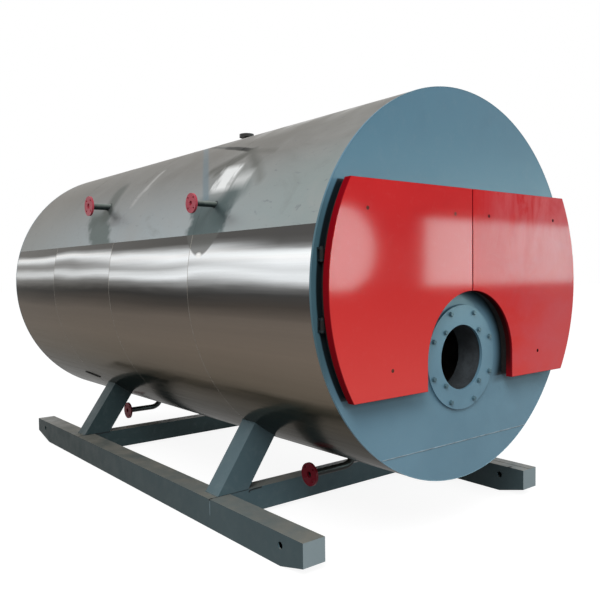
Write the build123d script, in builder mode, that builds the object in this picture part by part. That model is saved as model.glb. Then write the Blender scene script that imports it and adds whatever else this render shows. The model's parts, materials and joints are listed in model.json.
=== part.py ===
from build123d import *
import os
from math import cos, radians, sin, sqrt

os.makedirs("parts", exist_ok=True)

# Horizontal fire-tube boiler on a welded skid, in millimetres, +Z up.
# The burner end faces -Y. The origin is on the ground, under the middle of the whole boiler.

# Round body: three rings of full sheets and a shorter one at the rear
jacket_radius = 1100
body_clearance = 170
sheet_length = 1142
last_sheet_length = 1040
plate_thickness = 12
insulation = 100
shell_wall = 14
film_angle = 16.6
seat_gap = 0.3

# Burner opening and its mounting ring
ring_outer_radius = 296
ring_bore_radius = 184
ring_thickness = 15
outer_bolt_circle = 535
outer_bolt_count = 8
inner_bolt_circle = 418
inner_bolt_count = 4
ring_hole_radius = 10
throat_radius = 196
throat_length = 153

# Furnace tube, and the two tube sheets that close the drum
smokebox_depth = 350
rear_box_depth = 362
tube_sheet_thickness = 16
furnace_radius = 425
furnace_wall = 14
furnace_end_gap = 200
furnace_floor_gap = 140

# Smokebox windows in the front plate: distances from the jacket's side and bottom, and
# how far the lower corners of the plate above the windows lie inside the drum's shell
window_side_inset = 260
window_bottom_inset = 600
top_corner_inset = 10
seam_inset = 208
mullion_width = 120
island_radius = 450

# Door leaves: their rim, and how far they reach past the windows
door_stand_off = 88
door_rim_depth = 42
door_sheet = 4
door_edge_chamfer = 2
door_edge_inset = 35
door_top_lap = 55
door_bottom_lap = 52
door_seam = 6
door_arch_radius = 377

# Insulated linings behind the door covers
lining_edge_inset = 60
lining_inset = 17
lining_arch_step = 8
lining_plate_gap = 6
lining_seam = 40

# Door hinges, each in a pocket of the lining
hinge_inset = 50
hinge_stand_off = 23
hinge_spacing = 334
knuckle_radius = 11
knuckle_height = 44
hinge_pin_radius = 6
hinge_running_gap = 0.2
hinge_end_gap = 1
hinge_strap_thickness = 8
bracket_arm_height = 10
bracket_foot_thickness = 6
bracket_foot_width = 24
pocket_side_clearance = 9
pocket_end_clearance = 6
strap_lap = 5

# Skid frame
skid_inset = 69
skid_width = 147
skid_height = 177
skid_wall = 9
skid_front_set_back = 166
skid_rear_set_back = 350
front_toe_height = 46
front_toe_length = 190
rear_toe_height = 65
rear_toe_length = 279
lifting_hole_radius = 20
lifting_hole_from_end = 189
lifting_hole_height = 111
beam_height = 150
beam_width = 110
beam_web = 9
beam_flange = 11
front_beam_to_seam = 98
rear_beam_to_seam = 281
leg_foot_inset = 61
leg_width = 222
leg_length = 142
leg_lean_run = 245
leg_lean_rise = 356

# Flanges of two sizes and their pipes
small_pipe_radius = 17
small_flange_radius = 57.5
small_flange_thickness = 14
small_bolt_circle = 85
small_hole_radius = 7
large_pipe_radius = 24
large_flange_radius = 75
large_flange_thickness = 16
large_bolt_circle = 110
large_hole_radius = 9
pipe_wall = 3.5
pipe_clearance = 1
flange_bolt_count = 4

# Nozzles: distance to a ring seam, height above the axis, stand-off from the jacket
front_nozzle_to_seam = 148
front_nozzle_height = 487
front_nozzle_stand_off = 166
rear_nozzle_past_seam = 378
rear_nozzle_height = 609
rear_nozzle_stand_off = 170
top_nozzle_to_seam = 195
top_nozzle_stand_off = 88
top_flange_thickness = 26

# Drains: distance to a ring seam, drop below the jacket, reach to the left of the middle
front_drain_to_seam = 274
front_drain_drop = 104
rear_drain_past_seam = 213
rear_drain_drop = 115
front_drain_reach = 400
rear_drain_reach = 355
drain_bend_radius = 100
drain_bore_depth = 80

# Rear end: flue outlet, access cover and sight port
flue_radius = 204
flue_wall = 6
flue_inset = 540
flue_length = 120
flue_flange_radius = 250
flue_flange_thickness = 10
cover_radius = 270
cover_thickness = 25
access_hole_radius = 215
sight_radius = 32
sight_bore_radius = 22
sight_length = 60

# Places along the boiler that follow from the sizes above
ring_lengths = [sheet_length, sheet_length, sheet_length, last_sheet_length]
body_length = sum(ring_lengths) + 2 * plate_thickness
front = -(door_stand_off + body_length + flue_length) / 2 + door_stand_off
rear = front + body_length
shell_front = front + plate_thickness
shell_rear = rear - plate_thickness
ring_ends = [shell_front + sum(ring_lengths[:i]) for i in range(len(ring_lengths) + 1)]
first_seam, second_seam, third_seam = ring_ends[1:-1]
throat_back = shell_front + throat_length
tube_sheet_front = shell_front + smokebox_depth
rear_sheet_back = shell_rear - rear_box_depth
furnace_back = rear_sheet_back - tube_sheet_thickness - furnace_end_gap
front_beam = first_seam - front_beam_to_seam
rear_beam = third_seam - rear_beam_to_seam
door_front = front - door_stand_off
door_back = door_front + door_rim_depth
hinge_line = front - hinge_stand_off

# Radii of the body, and places across it; heights of windows, doors and flue are from its axis
axis_height = skid_height + body_clearance + jacket_radius
shell_radius = jacket_radius - insulation
shell_bore = shell_radius - shell_wall
furnace_outer = furnace_radius + furnace_wall
burner_drop = shell_bore - furnace_floor_gap - furnace_outer
burner_height = axis_height - burner_drop
window_side = jacket_radius - window_side_inset
window_top = sqrt(jacket_radius**2 - (shell_radius - top_corner_inset) ** 2)
window_bottom = window_bottom_inset - jacket_radius
lower_seam = seam_inset - jacket_radius
door_radius = jacket_radius - door_edge_inset
door_top = window_top + door_top_lap
door_bottom = window_bottom - door_bottom_lap
lining_radius = jacket_radius - lining_edge_inset
hinge_across = jacket_radius - hinge_inset
flue_height = jacket_radius - flue_inset
skid_outer = jacket_radius - skid_inset
leg_foot_outer = skid_outer - leg_foot_inset
leg_slope = leg_lean_run / leg_lean_rise


def across(y, height=axis_height):
    """Plane square to the boiler at y, seen from the burner end; its normal points forwards."""
    return Plane(origin=(0, y, height), x_dir=(1, 0, 0), z_dir=(0, -1, 0))


def radial(angle):
    """Plane through the boiler's axis: local x runs along the boiler, local y points outwards."""
    normal = (sin(radians(angle)), 0, -cos(radians(angle)))
    return Plane(origin=(0, 0, axis_height), x_dir=(0, 1, 0), z_dir=normal)


def write(part, name):
    part.label = name
    export_step(part, f"parts/{name}.step")


# Skid: two box runners with raked toes, each made of two channels set toe to toe
def skid(side):
    low = front + skid_front_set_back
    high = rear - skid_rear_set_back
    middle = side * (skid_outer - skid_width / 2)
    toes = [
        (low, front_toe_height),
        (low, skid_height),
        (high, skid_height),
        (high, rear_toe_height),
        (high - rear_toe_length, 0),
        (low + front_toe_length, 0),
    ]
    holes = [
        (low + lifting_hole_from_end, lifting_hole_height),
        (high - lifting_hole_from_end, lifting_hole_height),
    ]
    with BuildPart() as runner:
        with BuildSketch(Plane.YZ.offset(middle)):
            Polygon(*toes, align=None)
        extrude(amount=skid_width / 2, both=True)
        with BuildSketch(Plane.YZ.offset(middle)):
            Polygon(*toes, align=None)
            offset(amount=-skid_wall)
        extrude(amount=skid_width / 2 - skid_wall, both=True, mode=Mode.SUBTRACT)
        with BuildSketch(Plane.YZ.offset(middle)):
            with Locations(*holes):
                Circle(lifting_hole_radius)
        extrude(amount=skid_width, both=True, mode=Mode.SUBTRACT)
    return runner.part


write(skid(-1), "left_skid")
write(skid(1), "right_skid")


# Cross-beams: channels between the runners, level with their tops, with the web towards the burner end
def cross_beam(web_front):
    span = 2 * (skid_outer - skid_width)
    underside = skid_height - beam_height
    with BuildPart() as beam:
        with BuildSketch(Plane.YZ.offset(-span / 2)):
            with Locations((web_front, underside)):
                Rectangle(beam_width, beam_height, align=(Align.MIN, Align.MIN))
            with Locations((web_front + beam_web, underside + beam_flange)):
                Rectangle(
                    beam_width,
                    beam_height - 2 * beam_flange,
                    align=(Align.MIN, Align.MIN),
                    mode=Mode.SUBTRACT,
                )
        extrude(amount=span)
    return beam.part


write(cross_beam(front_beam), "front_cross_beam")
write(cross_beam(rear_beam), "rear_cross_beam")


# Legs: box struts that lean in from the runners, in line with the beams' webs, and are cut to the
# round jacket
def leg_pair(leg_front):
    rise = axis_height - skid_height
    with BuildPart() as legs:
        with BuildSketch(across(leg_front + leg_length, skid_height)):
            Polygon(
                (-leg_foot_outer, 0),
                (-leg_foot_outer + leg_width, 0),
                (-leg_foot_outer + leg_width + rise * leg_slope, rise),
                (-leg_foot_outer + rise * leg_slope, rise),
                align=None,
            )
            mirror(about=Plane.YZ)
            with Locations((0, rise)):
                Circle(jacket_radius + seat_gap, mode=Mode.SUBTRACT)
        extrude(amount=leg_length)
    return legs.part


write(leg_pair(front_beam), "front_legs")
write(leg_pair(rear_beam), "rear_legs")


# Front plate: one disc of several pieces around the smokebox windows and the burner
def plate_piece(x_low, x_high, z_low, z_high, both_sides=False):
    with BuildPart() as piece:
        with BuildSketch(across(shell_front)):
            Circle(jacket_radius)
            with Locations(((x_low + x_high) / 2, (z_low + z_high) / 2)):
                Rectangle(x_high - x_low, z_high - z_low, mode=Mode.INTERSECT)
            if both_sides:
                mirror(about=Plane.YZ)
        extrude(amount=plate_thickness)
    return piece.part


def burner_panel():
    with BuildPart() as panel:
        with BuildSketch(across(shell_front)):
            with Locations((0, -burner_drop)):
                Circle(island_radius)
            with Locations((0, lower_seam)):
                Rectangle(
                    2 * island_radius,
                    -lower_seam - burner_drop,
                    align=(Align.CENTER, Align.MIN),
                )
                Rectangle(
                    mullion_width,
                    window_top - lower_seam,
                    align=(Align.CENTER, Align.MIN),
                )
            with Locations((0, -burner_drop)):
                Circle(throat_radius, mode=Mode.SUBTRACT)
        extrude(amount=plate_thickness)
    return panel.part


write(plate_piece(-jacket_radius, jacket_radius, window_top, jacket_radius), "front_top_plate")
write(plate_piece(window_side, jacket_radius, window_bottom, window_top, True), "front_side_plates")
write(plate_piece(island_radius, jacket_radius, lower_seam, window_bottom, True), "front_corner_plates")
write(plate_piece(-jacket_radius, jacket_radius, -jacket_radius, lower_seam), "front_lower_plate")
write(burner_panel(), "burner_panel")


# Burner mounting ring with its two circles of holes
with BuildPart() as burner_ring:
    with BuildSketch(across(front, burner_height)):
        Circle(ring_outer_radius)
        Circle(ring_bore_radius, mode=Mode.SUBTRACT)
        with PolarLocations(outer_bolt_circle / 2, outer_bolt_count, start_angle=22.5):
            Circle(ring_hole_radius, mode=Mode.SUBTRACT)
        with PolarLocations(inner_bolt_circle / 2, inner_bolt_count, start_angle=45):
            Circle(ring_hole_radius, mode=Mode.SUBTRACT)
    extrude(amount=ring_thickness)

write(burner_ring.part, "burner_ring")


# Refractory throat behind the ring
with BuildPart() as burner_throat:
    with BuildSketch(across(throat_back, burner_height)):
        Circle(furnace_outer)
        Circle(throat_radius, mode=Mode.SUBTRACT)
    extrude(amount=throat_length)

write(burner_throat.part, "burner_throat")


# Furnace tube: it starts at the throat, crosses the smokebox and is closed at its far end
with BuildPart() as furnace_tube:
    with BuildSketch(across(furnace_back, burner_height)):
        Circle(furnace_outer)
    extrude(amount=furnace_back - throat_back)
    with BuildSketch(across(furnace_back - furnace_wall, burner_height)):
        Circle(furnace_radius)
    extrude(amount=furnace_back - throat_back, mode=Mode.SUBTRACT)

write(furnace_tube.part, "furnace_tube")


# Tube sheets: the front one lets the furnace tube through
def tube_sheet(back, furnace_hole):
    with BuildPart() as sheet:
        with BuildSketch(across(back)):
            Circle(shell_bore - seat_gap)
            if furnace_hole:
                with Locations((0, -burner_drop)):
                    Circle(furnace_outer + seat_gap, mode=Mode.SUBTRACT)
        extrude(amount=tube_sheet_thickness)
    return sheet.part


write(tube_sheet(tube_sheet_front + tube_sheet_thickness, True), "front_tube_sheet")
write(tube_sheet(rear_sheet_back, False), "rear_tube_sheet")


# Shell of the drum and of the two smokeboxes
with BuildPart() as drum_shell:
    with BuildSketch(across(shell_rear)):
        Circle(shell_radius)
        Circle(shell_bore, mode=Mode.SUBTRACT)
    extrude(amount=shell_rear - shell_front)

write(drum_shell.part, "drum_shell")


# Side nozzles: place along the boiler, height above the axis, stand-off, and the sizes of the flange
small_flange = (
    small_pipe_radius,
    small_flange_radius,
    small_flange_thickness,
    small_bolt_circle,
    small_hole_radius,
)
large_flange = (
    large_pipe_radius,
    large_flange_radius,
    large_flange_thickness,
    large_bolt_circle,
    large_hole_radius,
)
side_nozzles = [
    (first_seam - front_nozzle_to_seam, front_nozzle_height, front_nozzle_stand_off, small_flange),
    (second_seam + rear_nozzle_past_seam, rear_nozzle_height, rear_nozzle_stand_off, large_flange),
]


def flange_outline(sizes):
    """Round outline of a flange with its bore and bolt holes."""
    pipe, radius, _, bolt_circle, hole = sizes
    with BuildSketch() as outline:
        Circle(radius)
        Circle(pipe - pipe_wall, mode=Mode.SUBTRACT)
        with PolarLocations(bolt_circle / 2, flange_bolt_count, start_angle=45):
            Circle(hole, mode=Mode.SUBTRACT)
    return outline.sketch


def side_plane(side, x, place, height):
    """Plane square to a side nozzle, its normal pointing away from the boiler."""
    return Plane(origin=(side * x, place, axis_height + height), z_dir=(side, 0, 0))


def half_width(radius, height):
    """Distance from the middle plane to a round wall at a height above the axis."""
    return sqrt(radius**2 - height**2)


def side_pipes(side):
    with BuildPart() as pipes:
        for place, height, stand_off, sizes in side_nozzles:
            pipe, _, thickness, *_ = sizes
            start = half_width(shell_radius + seat_gap, height - pipe)
            end = half_width(jacket_radius, height) + stand_off - thickness
            with BuildSketch(side_plane(side, start, place, height)):
                Circle(pipe)
                Circle(pipe - pipe_wall, mode=Mode.SUBTRACT)
            extrude(amount=end - start)
    return pipes.part


def side_flanges(side):
    with BuildPart() as flanges:
        for place, height, stand_off, sizes in side_nozzles:
            back = half_width(jacket_radius, height) + stand_off - sizes[2]
            with BuildSketch(side_plane(side, back, place, height)):
                add(flange_outline(sizes))
            extrude(amount=sizes[2])
    return flanges.part


write(side_pipes(-1), "left_nozzle_pipes")
write(side_pipes(1), "right_nozzle_pipes")
write(side_flanges(-1), "left_nozzle_flanges")
write(side_flanges(1), "right_nozzle_flanges")


# Top nozzle: a short pipe with its flange, open upwards
top_nozzle_place = second_seam - top_nozzle_to_seam
top_nozzle_foot = axis_height + shell_radius + seat_gap
top_flange_back = axis_height + jacket_radius + top_nozzle_stand_off - top_flange_thickness

with BuildPart() as top_nozzle:
    with BuildSketch(Plane((0, top_nozzle_place, top_nozzle_foot))):
        Circle(small_pipe_radius)
        Circle(small_pipe_radius - pipe_wall, mode=Mode.SUBTRACT)
    extrude(amount=top_flange_back - top_nozzle_foot)
    with BuildSketch(Plane((0, top_nozzle_place, top_flange_back))):
        add(flange_outline(small_flange))
    extrude(amount=top_flange_thickness)

write(top_nozzle.part, "top_nozzle")


# Drains: each drops out of the bottom and turns to the left; the bore is cut near its mouth only
jacket_bottom = axis_height - jacket_radius
drains = [
    (first_seam - front_drain_to_seam, jacket_bottom - front_drain_drop, front_drain_reach),
    (third_seam + rear_drain_past_seam, jacket_bottom - rear_drain_drop, rear_drain_reach),
]


def drain_plane(place, height, reach):
    """Plane of a drain flange's back face, its normal pointing out of the pipe."""
    return Plane(origin=(large_flange_thickness - reach, place, height), z_dir=(-1, 0, 0))


with BuildPart() as drain_pipes:
    for place, height, reach in drains:
        top = axis_height - shell_radius - seat_gap
        with BuildLine() as run:
            FilletPolyline(
                (0, place, top),
                (0, place, height),
                (large_flange_thickness - reach, place, height),
                radius=drain_bend_radius,
            )
        with BuildSketch(Plane(origin=(0, place, top), z_dir=(0, 0, -1))):
            Circle(large_pipe_radius)
        sweep(path=run.line)
        with BuildSketch(drain_plane(place, height, reach)):
            Circle(large_pipe_radius - pipe_wall)
        extrude(amount=-drain_bore_depth, mode=Mode.SUBTRACT)

write(drain_pipes.part, "drain_pipes")

with BuildPart() as drain_flanges:
    for place, height, reach in drains:
        with BuildSketch(drain_plane(place, height, reach)):
            add(flange_outline(large_flange))
        extrude(amount=large_flange_thickness)

write(drain_flanges.part, "drain_flanges")


# Jacket: insulation under sheet, in rings one sheet long, each ring in three segments
def jacket_segment(y_low, y_high, angle_from, angle_to):
    with BuildPart() as segment:
        with BuildSketch(radial(angle_from)):
            with Locations(((y_low + y_high) / 2, shell_radius + seat_gap)):
                Rectangle(
                    y_high - y_low,
                    insulation - seat_gap,
                    align=(Align.CENTER, Align.MIN),
                )
        revolve(
            axis=Axis((0, 0, axis_height), (0, -1, 0)),
            revolution_arc=angle_to - angle_from,
        )
        for place, height, _, sizes in side_nozzles:
            if y_low < place + sizes[0] and place - sizes[0] < y_high:
                for side in (-1, 1):
                    with BuildSketch(side_plane(side, 0, place, height)):
                        Circle(sizes[0] + pipe_clearance)
                    extrude(amount=jacket_radius, mode=Mode.SUBTRACT)
        if y_low < top_nozzle_place < y_high:
            with BuildSketch(Plane((0, top_nozzle_place, axis_height))):
                Circle(small_pipe_radius + pipe_clearance)
            extrude(amount=2 * jacket_radius, mode=Mode.SUBTRACT)
        for place, *_ in drains:
            if y_low < place < y_high:
                with BuildSketch(Plane((0, place, 0))):
                    Circle(large_pipe_radius + pipe_clearance)
                extrude(amount=axis_height, mode=Mode.SUBTRACT)
    return segment.part


ring_names = ["front", "second", "third", "rear"]

for name, y_low, y_high in zip(ring_names, ring_ends, ring_ends[1:]):
    write(jacket_segment(y_low, y_high, film_angle, 180 - film_angle), f"{name}_upper_jacket")
    write(jacket_segment(y_low, y_high, 180 - film_angle, 270), f"{name}_left_jacket")
    write(jacket_segment(y_low, y_high, -90, film_angle), f"{name}_right_jacket")


# Rear plate with the flue outlet above and the access hole, under its cover, behind the furnace
with BuildPart() as rear_plate:
    with BuildSketch(across(rear)):
        Circle(jacket_radius)
        with Locations((0, flue_height)):
            Circle(flue_radius, mode=Mode.SUBTRACT)
        with Locations((0, -burner_drop)):
            Circle(access_hole_radius, mode=Mode.SUBTRACT)
    extrude(amount=plate_thickness)

write(rear_plate.part, "rear_plate")

with BuildPart() as flue_collar:
    with BuildSketch(across(rear + flue_length, axis_height + flue_height)):
        Circle(flue_radius + flue_wall)
    extrude(amount=flue_length)
    with BuildSketch(across(rear + flue_length, axis_height + flue_height)):
        Circle(flue_flange_radius)
    extrude(amount=flue_flange_thickness)
    with BuildSketch(across(rear + flue_length, axis_height + flue_height)):
        Circle(flue_radius)
    extrude(amount=flue_length, mode=Mode.SUBTRACT)

write(flue_collar.part, "flue_collar")

with BuildPart() as rear_cover:
    with BuildSketch(across(rear + cover_thickness, burner_height)):
        Circle(cover_radius)
    extrude(amount=cover_thickness)
    with BuildSketch(across(rear + cover_thickness + sight_length, burner_height)):
        Circle(sight_radius)
    extrude(amount=sight_length)
    with BuildSketch(across(rear + cover_thickness + sight_length, burner_height)):
        Circle(sight_bore_radius)
    extrude(amount=sight_length + cover_thickness, mode=Mode.SUBTRACT)

write(rear_cover.part, "rear_cover")


# Door leaves. An outline is drawn for the right leaf and mirrored for the left one.
def leaf_outline(side, radius, top, bottom, seam, arch):
    """Leaf outline in the sketch that is open: a slice of a disc with a notch for the burner."""
    Circle(radius)
    with Locations((side * seam / 2, bottom)):
        Rectangle(
            radius,
            top - bottom,
            align=(Align.MIN if side > 0 else Align.MAX, Align.MIN),
            mode=Mode.INTERSECT,
        )
    with Locations((0, -burner_drop)):
        Circle(arch, mode=Mode.SUBTRACT)
    with Locations((0, bottom)):
        Rectangle(
            2 * arch,
            -burner_drop - bottom,
            align=(Align.CENTER, Align.MIN),
            mode=Mode.SUBTRACT,
        )


def door_cover(side):
    """Pressed sheet cover: a flat face with a folded rim all round."""
    with BuildPart() as cover:
        with BuildSketch(across(door_back)):
            leaf_outline(side, door_radius, door_top, door_bottom, door_seam, door_arch_radius)
        extrude(amount=door_rim_depth)
        chamfer(cover.faces().sort_by(Axis.Y)[0].edges(), door_edge_chamfer)
        with BuildSketch(across(door_back)):
            leaf_outline(side, door_radius, door_top, door_bottom, door_seam, door_arch_radius)
            offset(amount=-door_sheet)
        extrude(amount=door_rim_depth - door_sheet, mode=Mode.SUBTRACT)
    return cover.part


hinge_heights = [axis_height - hinge_spacing / 2, axis_height + hinge_spacing / 2]
arm_place = knuckle_height / 2 + hinge_end_gap
bracket_half_height = arm_place + bracket_arm_height


def door_lining(side):
    """Insulated core that closes the smokebox window, with the straps and knuckles that carry it."""
    pivot = side * hinge_across
    core_front = door_front + door_sheet
    pocket_reach = knuckle_radius + pocket_side_clearance
    strap_length = pocket_reach + strap_lap
    with BuildPart() as lining:
        with BuildSketch(across(front - lining_plate_gap)):
            leaf_outline(
                side,
                lining_radius,
                door_top - lining_inset,
                door_bottom + lining_inset,
                lining_seam,
                door_arch_radius + lining_arch_step,
            )
        extrude(amount=front - lining_plate_gap - core_front)
        for height in hinge_heights:
            with BuildSketch(across(front, height)):
                with Locations((side * (hinge_across - pocket_reach), 0)):
                    Rectangle(
                        2 * pocket_reach,
                        2 * (bracket_half_height + pocket_end_clearance),
                        align=(Align.MIN if side > 0 else Align.MAX, Align.CENTER),
                    )
            extrude(amount=front - door_back, mode=Mode.SUBTRACT)
        for height in hinge_heights:
            with BuildSketch(Plane((pivot, hinge_line, height - knuckle_height / 2))):
                with Locations((-side * strap_length / 2, 0)):
                    Rectangle(strap_length, hinge_strap_thickness)
                Circle(knuckle_radius)
                Circle(hinge_pin_radius + hinge_running_gap, mode=Mode.SUBTRACT)
            extrude(amount=knuckle_height)
    return lining.part


def hinge_brackets():
    """Fixed halves of the hinges: a foot on the front plate, two arms and the pin."""
    with BuildPart() as brackets:
        for side in (-1, 1):
            for height in hinge_heights:
                pivot = Vector(side * hinge_across, hinge_line, height)
                low = height - bracket_half_height
                foot = Plane((side * hinge_across, front - bracket_foot_thickness, low))
                with BuildSketch(foot):
                    Rectangle(
                        bracket_foot_width,
                        bracket_foot_thickness,
                        align=(Align.CENTER, Align.MIN),
                    )
                extrude(amount=2 * bracket_half_height)
                for arm in (low, height + arm_place):
                    with BuildSketch(Plane((pivot.X, pivot.Y, arm))):
                        Circle(knuckle_radius)
                        Rectangle(
                            2 * knuckle_radius,
                            hinge_stand_off,
                            align=(Align.CENTER, Align.MIN),
                        )
                    extrude(amount=bracket_arm_height)
                with BuildSketch(Plane((pivot.X, pivot.Y, low))):
                    Circle(hinge_pin_radius)
                extrude(amount=2 * bracket_half_height)
    return brackets.part


write(door_cover(-1), "left_door_cover")
write(door_cover(1), "right_door_cover")
write(door_lining(-1), "left_door_lining")
write(door_lining(1), "right_door_lining")
write(hinge_brackets(), "hinge_brackets")
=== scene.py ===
import json
import math
import random

import bpy
from mathutils import Matrix, Vector


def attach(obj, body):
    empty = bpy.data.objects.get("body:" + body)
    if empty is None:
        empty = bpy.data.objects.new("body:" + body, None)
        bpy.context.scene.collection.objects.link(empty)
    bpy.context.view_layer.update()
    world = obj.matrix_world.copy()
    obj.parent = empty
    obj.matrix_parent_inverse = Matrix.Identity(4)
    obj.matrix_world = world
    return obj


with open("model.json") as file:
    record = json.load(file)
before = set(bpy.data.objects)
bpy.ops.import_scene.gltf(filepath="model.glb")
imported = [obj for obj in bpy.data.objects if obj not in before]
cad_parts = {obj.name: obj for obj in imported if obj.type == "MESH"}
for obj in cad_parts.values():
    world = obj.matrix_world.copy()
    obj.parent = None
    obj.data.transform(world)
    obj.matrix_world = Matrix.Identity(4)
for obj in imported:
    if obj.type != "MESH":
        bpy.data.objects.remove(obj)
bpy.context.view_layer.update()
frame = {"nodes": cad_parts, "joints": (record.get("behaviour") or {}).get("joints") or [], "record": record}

NODES = frame["nodes"]
random.seed(7)


def extent(name):
    """Lowest and highest corner of a node, to a tenth of a millimetre."""
    obj = NODES[name]
    corners = [obj.matrix_world @ Vector(corner) for corner in obj.bound_box]
    low = [round(min(corner[i] for corner in corners), 4) for i in range(3)]
    high = [round(max(corner[i] for corner in corners), 4) for i in range(3)]
    return low, high


# Sizes and places of the boiler in metres, read from the nodes
PLATE_LOW, PLATE_HIGH = extent("rear_plate")
REAR = PLATE_HIGH[1]
RADIUS = PLATE_HIGH[0]
AXIS = round(PLATE_LOW[2] + RADIUS, 4)
FRONT = extent("front_side_plates")[0][1]
SEAMS = [extent(ring + "_upper_jacket")[0][1] for ring in ("second", "third", "rear")]
RING_LOW, RING_HIGH = extent("burner_ring")
RING_FACE = RING_LOW[1]
RING_RADIUS = RING_HIGH[0]
BURNER = round((RING_LOW[2] + RING_HIGH[2]) / 2, 4)
DOOR_LOW, DOOR_HIGH = extent("right_door_cover")
DOOR_FACE = DOOR_LOW[1]
DOOR_RADIUS = DOOR_HIGH[0]
DOOR_BOTTOM = DOOR_LOW[2]
DOOR_TOP = DOOR_HIGH[2]
LINING_LOW, LINING_HIGH = extent("right_door_lining")
HINGES = {joint["name"]: joint["pos_m"] for joint in frame["joints"]}
HINGE_X, HINGE_Y, HINGE_Z = HINGES["right_door_hinge"]
PORT_END = extent("rear_cover")[1][1]
FURNACE_RADIUS = extent("furnace_tube")[1][0]
SHEET_RADIUS = extent("front_tube_sheet")[1][0]
FRONT_SHEET = extent("front_tube_sheet")[0][1]
REAR_SHEET = extent("rear_tube_sheet")[1][1]
SKID_LOW, SKID_HIGH = extent("right_skid")
SKID_INNER, TOE = SKID_LOW[:2]
SKID_OUTER, HEEL, SKID_TOP = SKID_HIGH
BEAM_LOW, BEAM_HIGH = extent("front_cross_beam")
BEAMS = [BEAM_LOW[1], extent("rear_cross_beam")[0][1]]
BEAM_BOTTOM = BEAM_LOW[2]
BEAM_WIDTH = round(BEAM_HIGH[1] - BEAM_LOW[1], 4)
LEG_OUTER = extent("front_legs")[1][0]
LEG_LENGTH = round(extent("front_legs")[1][1] - BEAM_LOW[1], 4)

# Sizes that no node's extent gives
DOOR_ARCH = 0.377
LINING_ARCH = 0.385
LINING_EDGE = 1.04
PLATE_SEAM = 0.892
COVER_FACE = REAR + 0.025
FILM_ANGLE = 16.6
LEG_INNER = 0.748
LEG_SLOPE = 245 / 356


# Materials
def srgb(r, g, b):
    """Linear colour from the 0 to 255 values of a picture."""
    out = []
    for v in (r, g, b):
        v /= 255
        out.append(v / 12.92 if v <= 0.04045 else ((v + 0.055) / 1.055) ** 2.4)
    return (*out, 1)


def feed(tree, socket, value):
    """Links a socket, or sets its own value."""
    if isinstance(value, bpy.types.NodeSocket):
        tree.links.new(value, socket)
    else:
        socket.default_value = value


def add_node(tree, kind, inputs=None, **settings):
    """A node with its settings, and its inputs linked or set."""
    node = tree.nodes.new(kind)
    for key, value in settings.items():
        setattr(node, key, value)
    for key, value in (inputs or {}).items():
        feed(tree, node.inputs[key], value)
    return node


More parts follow.
